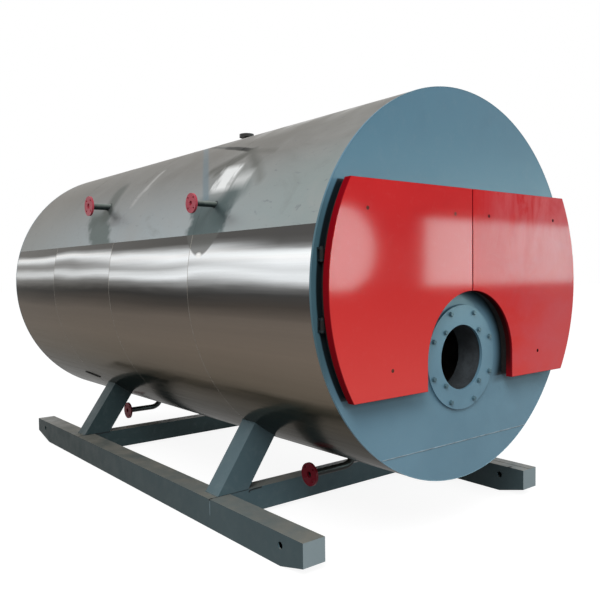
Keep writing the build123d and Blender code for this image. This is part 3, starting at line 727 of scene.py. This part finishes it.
# Edge bead of the front plate, and the seam across its lower part
EDGE_BEAD = 0.0022
PLATE_BEAD = 0.003
piece = Build()
piece.bead(circle((0, FRONT + 0.001, AXIS), (0, 1, 0), RADIUS - 0.001, 180), EDGE_BEAD, True)
piece.done("front_plate_edge", "body_paint")
half = math.sqrt(RADIUS ** 2 - PLATE_SEAM ** 2) - 0.006
height = AXIS - PLATE_SEAM
piece = Build()
piece.bead(dense([(-half, FRONT, height), (half, FRONT, height)], 0.02), PLATE_BEAD, ripple=0.2)
piece.done("front_plate_seam", "seam_pale")

# Laps between the jacket's rings: a low ridge whose profile is (along, lift off the jacket)
LAP = [(-0.002, -0.001), (-0.0012, 0.0006), (0.0012, 0.0006), (0.002, -0.001)]
LAP_STEPS = 96
for name, finish, start, end in (("lap_lines_upper", "film_steel", FILM_ANGLE, 180 - FILM_ANGLE),
                                 ("lap_lines_lower", "lap_steel", 180 - FILM_ANGLE, 360 + FILM_ANGLE)):
    piece = Build()
    for seam in SEAMS:
        rows = []
        for i in range(LAP_STEPS + 1):
            angle = math.radians(start + (end - start) * i / LAP_STEPS)
            for along, lift in LAP:
                reach = RADIUS + lift
                rows.append((reach * math.cos(angle), seam + along, AXIS + reach * math.sin(angle)))
        corners = [4 * i + k for i in range(LAP_STEPS) for k in range(3)]
        piece.add(rows, [(n, n + 1, n + 5, n + 4) for n in corners])
    piece.done(name, finish)


# Bolts: width across flats, height of the head and radius of the washer, and the circles that they
# stand on: radius, how many, and the angle of the first in degrees
RING_BOLT = (0.022, 0.012, 0.0145)
COVER_BOLT = (0.024, 0.01, 0.015)
WASHER = 0.0025
CHAMFER = 0.0015
OUTER_CIRCLE = (0.2675, 8, 22.5)
INNER_CIRCLE = (0.209, 4, 45)
COVER_CIRCLE = (0.2425, 12, 15)


def hex_bolt(piece, place, axis, across_flats, head, washer):
    """Hexagon head with a chamfered top, on a washer."""
    corner = across_flats / math.sqrt(3)
    piece.turned(place, axis, [(0, washer), (WASHER - 0.0005, washer), (WASHER, washer - 0.0005)], 24)
    top = place + Vector(axis) * WASHER
    piece.turned(top, axis, [(0, corner), (head - CHAMFER, corner), (head, across_flats * 0.47)], 6)


def bolt_circle(piece, face, way, places, bolt):
    """A circle of bolts round the burner's line, on a face square to Y."""
    radius, count, first = places
    for i in range(count):
        turn = math.radians(first + 360 * i / count)
        place = Vector((radius * math.cos(turn), face, BURNER + radius * math.sin(turn)))
        hex_bolt(piece, place, (0, way, 0), *bolt)


piece = Build()
bolt_circle(piece, RING_FACE, -1, OUTER_CIRCLE, RING_BOLT)
bolt_circle(piece, RING_FACE, -1, INNER_CIRCLE, RING_BOLT)
piece.done("ring_bolts", "bolt_paint", smooth=False)
piece = Build()
bolt_circle(piece, COVER_FACE, 1, COVER_CIRCLE, COVER_BOLT)
piece.done("cover_bolts", "dark_steel", smooth=False)

# Sight glass in the port of the rear cover, with its clamping ring
GLASS_RADIUS = 0.0216
CLAMP_RADIUS = 0.0275
CLAMP = 0.004
piece = Build()
piece.turned((0, PORT_END - 0.015, BURNER), (0, 1, 0), [(0, GLASS_RADIUS), (0.006, GLASS_RADIUS)], 32)
piece.done("sight_glass", "glass")
piece = Build()
piece.bead(circle((0, PORT_END + 0.002, BURNER), (0, 1, 0), CLAMP_RADIUS, 48), CLAMP, True, sides=10)
piece.done("sight_ring", "bright_steel")

# Pin heads above and below both hinges of each door
HINGE_RISE = 0.167
KNUCKLE_HALF = 0.033
PIN_HEAD = [(0, 0.0085), (0.003, 0.0085), (0.005, 0.005)]
piece = Build()
for side in (-1, 1):
    for height in (-HINGE_RISE, HINGE_RISE):
        for way in (-1, 1):
            foot = (side * HINGE_X, HINGE_Y, HINGE_Z + height + way * KNUCKLE_HALF)
            piece.turned(foot, (0, 0, way), PIN_HEAD, 18)
piece.done("hinge_pin_heads", "dark_steel")


# Welds and seams of the frame
def leg_top(foot):
    """Degrees above the axis, so below zero, at which the edge of a leg meets the round jacket.

    foot is how far off the centre plane that edge stands on the runners' top.
    """
    rise = AXIS - SKID_TOP
    a = LEG_SLOPE ** 2 + 1
    b = -2 * (foot * LEG_SLOPE + rise)
    c = foot ** 2 + rise ** 2 - RADIUS ** 2
    height = (-b - math.sqrt(b * b - 4 * a * c)) / (2 * a)
    return math.degrees(math.atan2(height - rise, foot - LEG_SLOPE * height))


WELD = 0.004
TOP_WELD = 0.0045
WELD_RIPPLE = 0.25
WELD_STEP = 0.01
TOP_STEP = 0.012
LIFT = 0.001
FACE_GAP = 0.0005
BEAM_SEAM = 0.002
ARC_STEPS = 16
welds = Build()
seams = Build()
for beam in BEAMS:
    for side in (-1, 1):
        back = beam + LEG_LENGTH
        z = SKID_TOP + LIFT
        outer, inner = side * LEG_OUTER, side * LEG_INNER
        foot = [(outer, beam, z), (outer, back, z), (side * SKID_INNER, back, z)]
        on_beam = [(inner, beam + WELD_STEP, z), (inner, beam + BEAM_WIDTH, z)]
        for path in (foot, on_beam):
            welds.bead(dense(path, WELD_STEP), WELD, ripple=WELD_RIPPLE)
        high, low = leg_top(LEG_OUTER), leg_top(LEG_INNER)
        arc = [high + (low - high) * i / ARC_STEPS for i in range(ARC_STEPS + 1)]
        near = [on_round(beam - FRONT, degrees, LIFT, side) for degrees in arc]
        far = [on_round(back - FRONT, degrees, LIFT, side) for degrees in reversed(arc)]
        welds.bead(dense(near + far + near[:1], TOP_STEP), TOP_WELD, ripple=WELD_RIPPLE)
        face = beam - FACE_GAP
        upright = [(side * SKID_INNER, face, BEAM_BOTTOM), (side * SKID_INNER, face, SKID_TOP)]
        welds.bead(dense(upright, WELD_STEP), WELD, ripple=WELD_RIPPLE)
        seams.bead([(side * SKID_OUTER, face, SKID_TOP), (inner, face, SKID_TOP)], BEAM_SEAM)
welds.done("frame_welds", "frame_paint")

# Seams of the runners, each made of two channels set toe to toe: along the right one's top, since the
# left one is ground flush there, and down the rear end of both
SEAM = 0.0014
SEAM_FOOT = 0.065
LEG_CLEARANCE = 0.004
# Gaps under the lips of the beams, beside the feet of the legs, drawn as dark beads of painted shade: metres
# off the centre plane, and height
LIP_GAPS = [(BEAMS[0], 0.0045, [(0.742, 0.158), (0.738, 0.168), (0.71, 0.171), (0.645, 0.172)]),
            (BEAMS[1], 0.004, [(0.87, 0.172), (0.75, 0.172)])]
stops = [TOE]
for beam in BEAMS:
    stops += [beam - LEG_CLEARANCE, beam + LEG_LENGTH + LEG_CLEARANCE]
stops.append(HEEL)
for side in (-1, 1):
    middle = side * (SKID_OUTER + SKID_INNER) / 2
    if side > 0:
        for start, end in zip(stops[::2], stops[1::2]):
            seams.bead([(middle, start, SKID_TOP), (middle, end, SKID_TOP)], SEAM)
    seams.bead([(middle, HEEL, SEAM_FOOT), (middle, HEEL, SKID_TOP)], SEAM)
    for beam, radius, gap in LIP_GAPS:
        seams.bead([(side * x, beam, z) for x, z in gap], radius, sides=8)
# slit in the top of the right runner near its toe, and the open end of the left one's splice, as dark boxes
# of painted shade
SLIT_START, SLIT_END = TOE + 0.103, TOE + 0.123
seams.box((SKID_INNER, SLIT_START, SKID_TOP - 0.004), (SKID_INNER + 0.03, SLIT_END, SKID_TOP + 0.0006))
seams.box((-SKID_OUTER - 0.0006, BEAMS[0] - 0.008, SKID_TOP - 0.008),
          (-SKID_OUTER + 0.02, BEAMS[0] + 0.004, SKID_TOP + 0.0008))
seams.done("frame_seams", "seam_dark")

# Welded splice in the outer side of each runner, by the front legs
SPLICE = 0.0025
SPLICE_LOW, SPLICE_HIGH = 0.08, 0.166
piece = Build()
for side in (-1, 1):
    x, y = side * SKID_OUTER, BEAMS[0] - 0.006
    piece.bead(dense([(x, y, SPLICE_LOW), (x, y, SPLICE_HIGH)], WELD_STEP), SPLICE, ripple=0.3)
piece.done("splice_welds", "seam_pale")

# Slot where a lap of the sheet gapes, low down near the rear, drawn as a dark bead of painted shade: metres
# along, degrees up and lift
GAPE = [(3.64, -46.7, -0.002), (3.6, -46.9, 0.0), (3.5, -47.5, 0.001), (3.42, -48.1, 0.0),
        (3.38, -48.4, -0.002)]
GAPE_RADIUS = 0.009
piece = Build()
piece.bead([on_round(*point) for point in GAPE], GAPE_RADIUS, sides=10)
piece.done("lap_gape", "shade_and_soot")

# Weld round the mounting ring
RING_WELD = 0.003
piece = Build()
piece.bead(circle((0, FRONT, BURNER), (0, 1, 0), RING_RADIUS + RING_WELD / 2, 140), RING_WELD, True, 0.15)
piece.done("ring_weld", "body_paint")

# Where the nozzles and drains leave the jacket, and their necks behind the flanges.
# Side nozzles: place along Y, height above the axis, radius of the pipe, length of the neck
SIDE_NOZZLES = [(-1.255, 0.487, 0.017, 0.152), (0.413, 0.609, 0.024, 0.154)]
TOP_NOZZLE_Y = -0.16
TOP_NECK = 0.062
TOP_RADIUS = 0.017
# Drains: place along Y, height of the branch, and how far left its flange starts
DRAINS = [(-1.381, 0.243, 0.384), (1.39, 0.232, 0.339)]
DRAIN_RADIUS = 0.024
EDGE = 0.0025
EDGE_GAP = 0.003
EDGE_STEPS = 40
NECK = 0.0035
NECK_GAP = 0.001
NECK_STEPS = 32
SKIN = 0.0005
edges = Build()
necks = Build()


def level_edge(centre, radius):
    """Bead where an upright pipe leaves the top or the bottom of the jacket."""
    edges.bead(circle(centre, (0, 0, 1), radius + EDGE_GAP, EDGE_STEPS), EDGE, True)


def neck_weld(centre, axis, radius):
    """Weld round a pipe, just behind its flange."""
    necks.bead(circle(centre, axis, radius + NECK_GAP, NECK_STEPS), NECK, True, 0.1, 8)


for side in (-1, 1):
    for y, height, radius, neck in SIDE_NOZZLES:
        path = []
        for k in range(EDGE_STEPS):
            turn = 2 * math.pi * k / EDGE_STEPS
            rise = height + (radius + EDGE_GAP) * math.sin(turn)
            out = side * (math.sqrt(RADIUS ** 2 - rise ** 2) + SKIN)
            path.append((out, y + (radius + EDGE_GAP) * math.cos(turn), AXIS + rise))
        edges.bead(path, EDGE, True)
        back = side * (math.sqrt(RADIUS ** 2 - height ** 2) + neck)
        neck_weld((back, y, AXIS + height), (1, 0, 0), radius)
level_edge((0, TOP_NOZZLE_Y, AXIS + RADIUS + SKIN), TOP_RADIUS)
neck_weld((0, TOP_NOZZLE_Y, AXIS + RADIUS + TOP_NECK), (0, 0, 1), TOP_RADIUS)
for y, z, reach in DRAINS:
    level_edge((0, y, AXIS - RADIUS - SKIN), DRAIN_RADIUS)
    neck_weld((-reach, y, z), (1, 0, 0), DRAIN_RADIUS)
edges.done("nozzle_edges", "seam_dark")
necks.done("neck_welds", "pipe_black")


# Ends of the fire tubes on both tube sheets: profiles as (distance off the sheet, radius)
TUBE_PITCH = 0.078
ROW_STEP = TUBE_PITCH * 0.866
ROWS = range(-11, 6)
COLUMNS = range(-13, 14)
SHEET_MARGIN = 0.07
FURNACE_MARGIN = 0.06
TUBE_END = [(0, 0.03), (0.002, 0.0285), (0.005, 0.0278), (0.005, 0.0245)]
TUBE_MOUTH = [(0, 0.0244), (0.0003, 0.024)]
MOUTH_LIFT = 0.0051


def tube_places():
    """Staggered rows around the furnace tube, below the steam space."""
    places = []
    for row in ROWS:
        z = row * ROW_STEP
        for column in COLUMNS:
            x = (column + 0.5 * (row % 2)) * TUBE_PITCH
            in_sheet = math.hypot(x, z) < SHEET_RADIUS - SHEET_MARGIN
            if in_sheet and math.hypot(x, z + AXIS - BURNER) > FURNACE_RADIUS + FURNACE_MARGIN:
                places.append((x, AXIS + z))
    return places


ends = Build()
# the mouths are dark discs over the closed tube ends: soot, and painted shade of the open bores
mouths = Build()
for sheet, way in ((FRONT_SHEET, -1), (REAR_SHEET, 1)):
    for x, z in tube_places():
        ends.turned((x, sheet, z), (0, way, 0), TUBE_END, 20)
        mouths.turned((x, sheet + way * MOUTH_LIFT, z), (0, way, 0), TUBE_MOUTH, 20)
ends.done("fire_tube_ends", "boiler_steel")
mouths.done("fire_tube_mouths", "shade_and_soot")

# Sealing rope on the back of the door linings, pressed flat between lining and plate
ROPE = 0.011
ROPE_INSET = 0.016
ROPE_LIFT = 0.0033
ROPE_FLATNESS = 0.2


def arc_points(radius, first, last, steps, drop=0.0):
    """Points on an arc about the axis, or about a line that lies lower by drop."""
    angles = [first + (last - first) * i / steps for i in range(steps + 1)]
    return [(radius * math.cos(angle), radius * math.sin(angle) - drop) for angle in angles]


def rope_path(side):
    """Round the outer arc, along the bottom, over the burner arch and back along the top."""
    edge = LINING_EDGE - ROPE_INSET
    top = LINING_HIGH[2] - AXIS - ROPE_INSET
    bottom = LINING_LOW[2] - AXIS + ROPE_INSET
    seam = LINING_LOW[0] + ROPE_INSET
    arch = LINING_ARCH + ROPE_INSET
    drop = AXIS - BURNER
    path = arc_points(edge, math.asin(top / edge), math.asin(bottom / edge), 40)
    path += [(arch, bottom)]
    path += arc_points(arch, 0, math.acos(seam / arch), 24, drop)
    path += [(seam, top), path[0]]
    return dense([(side * x, 0, AXIS + z) for x, z in path], 0.025)


for body, side in (("left_door", -1), ("right_door", 1)):
    piece = Build()
    piece.bead(rope_path(side), ROPE, ripple=0.06, sides=8)
    piece.points = [(x, FRONT - ROPE_LIFT + y * ROPE_FLATNESS, z) for x, y, z in piece.points]
    piece.done(body + "_rope", "rope", body)

# Camera, fitted to the photo: place in metres, angles in degrees, focal length in pixels
CAMERA_PLACE = Vector((-3.1486, -4.7226, 1.5298))
YAW, PITCH, ROLL = (math.radians(angle) for angle in (-38.856, -2.299, -0.643))
FOCAL_PIXELS = 686.73
PICTURE_PIXELS = 600
SENSOR = 36
scene = bpy.context.scene
camera_data = bpy.data.cameras.new("camera")
camera_data.sensor_width = SENSOR
camera_data.lens = FOCAL_PIXELS / PICTURE_PIXELS * SENSOR
camera_data.clip_end = 200
camera = bpy.data.objects.new("camera", camera_data)
scene.collection.objects.link(camera)
ahead = Vector((-math.sin(YAW) * math.cos(PITCH), math.cos(YAW) * math.cos(PITCH), math.sin(PITCH)))
across = Vector((math.cos(YAW), math.sin(YAW), 0))
above = across.cross(ahead)
right = across * math.cos(ROLL) + above * math.sin(ROLL)
up = -across * math.sin(ROLL) + above * math.cos(ROLL)
facing = Matrix((right, up, -ahead)).transposed()
camera.matrix_world = Matrix.Translation(CAMERA_PLACE) @ facing.to_4x4()
scene.camera = camera

# Floor, white where it is lit, with the boiler's shadow: its own grey, and its glow to the eye and in
# reflections
FLOOR_REACH = 60
FLOOR_DROP = 0.0005
FLOOR_GREY = 0.22
FLOOR_SEEN = 0.9
FLOOR_MIRRORED = 0.3
corners = [(x * FLOOR_REACH, y * FLOOR_REACH, 0) for x, y in ((-1, -1), (1, -1), (1, 1), (-1, 1))]
floor_mesh = bpy.data.meshes.new("floor")
floor_mesh.from_pydata(corners, [], [(0, 1, 2, 3)])
floor = bpy.data.objects.new("floor", floor_mesh)
scene.collection.objects.link(floor)
floor.location.z = -FLOOR_DROP
ground = bpy.data.materials.new("floor")
ground.use_nodes = True
tree = ground.node_tree
tree.nodes.clear()
rays = add_node(tree, "ShaderNodeLightPath").outputs
seen = add_node(tree, "ShaderNodeMath", {0: rays["Is Camera Ray"], 1: FLOOR_SEEN}, operation="MULTIPLY")
mirrored = {0: rays["Is Glossy Ray"], 1: FLOOR_MIRRORED, 2: seen.outputs[0]}
glowing = add_node(tree, "ShaderNodeMath", mirrored, operation="MULTIPLY_ADD")
glow = add_node(tree, "ShaderNodeEmission", {"Strength": glowing.outputs[0]})
diffuse = add_node(tree, "ShaderNodeBsdfDiffuse", {"Color": (FLOOR_GREY, FLOOR_GREY, FLOOR_GREY, 1)})
both = add_node(tree, "ShaderNodeAddShader", {0: diffuse.outputs[0], 1: glow.outputs[0]})
add_node(tree, "ShaderNodeOutputMaterial", {"Surface": both.outputs[0]})
floor_mesh.materials.append(ground)

# World: white to the eye and in reflections, softer as light on the boiler
SOFT_LIGHT = 0.62
world = bpy.data.worlds.new("world")
scene.world = world
world.use_nodes = True
tree = world.node_tree
rays = add_node(tree, "ShaderNodeLightPath").outputs
direct = add_node(tree, "ShaderNodeMath", {0: rays["Is Camera Ray"], 1: rays["Is Glossy Ray"]},
                  operation="MAXIMUM")
clear = add_node(tree, "ShaderNodeMath", {0: direct.outputs[0], 1: rays["Is Transmission Ray"]},
                 operation="MAXIMUM")
level = add_node(tree, "ShaderNodeMapRange",
                 {"Value": clear.outputs[0], "To Min": SOFT_LIGHT, "To Max": 1.0})
back = tree.nodes["Background"]
feed(tree, back.inputs["Color"], (1, 1, 1, 1))
feed(tree, back.inputs["Strength"], level.outputs["Result"])


# Lamps
def lamp(name, place, target, size, power, shape="RECTANGLE", colour=(1, 1, 1)):
    """An area lamp that the camera doesn't see: size is (width, height), power in watts."""
    data = bpy.data.lights.new(name, "AREA")
    data.shape = shape
    data.color = colour
    data.size, data.size_y = size
    data.energy = power
    obj = bpy.data.objects.new(name, data)
    scene.collection.objects.link(obj)
    obj.location = place
    obj.visible_camera = False
    obj.rotation_euler = (Vector(target) - Vector(place)).to_track_quat("-Z", "Y").to_euler()
    return obj


key = lamp("key", (-5.5, -7.0, 7.5), (0, -1.0, 1.2), (4.5, 4.5), 560)
fill = lamp("fill", (6.0, -6.0, 4.0), (0, -1.5, 1.2), (4.0, 4.0), 60)
for light in (key, fill):
    light.visible_glossy = False

# Windows of the hall, square to the front, which show in reflections only
WINDOW_Y = -7.5
WINDOW_LIGHT = (0.66, 1.0, 1.0)
for name, x, z, size, power, shape in (("window_left", 3.68, 1.88, (1.42, 1.28), 84, "ELLIPSE"),
                                       ("window_right", 7.95, 1.84, (4.75, 1.12), 290, "RECTANGLE")):
    window = lamp(name, (x, WINDOW_Y, z), (x, 0, z), size, power, shape, WINDOW_LIGHT)
    window.visible_diffuse = False

view = scene.view_settings
view.view_transform = "Standard"
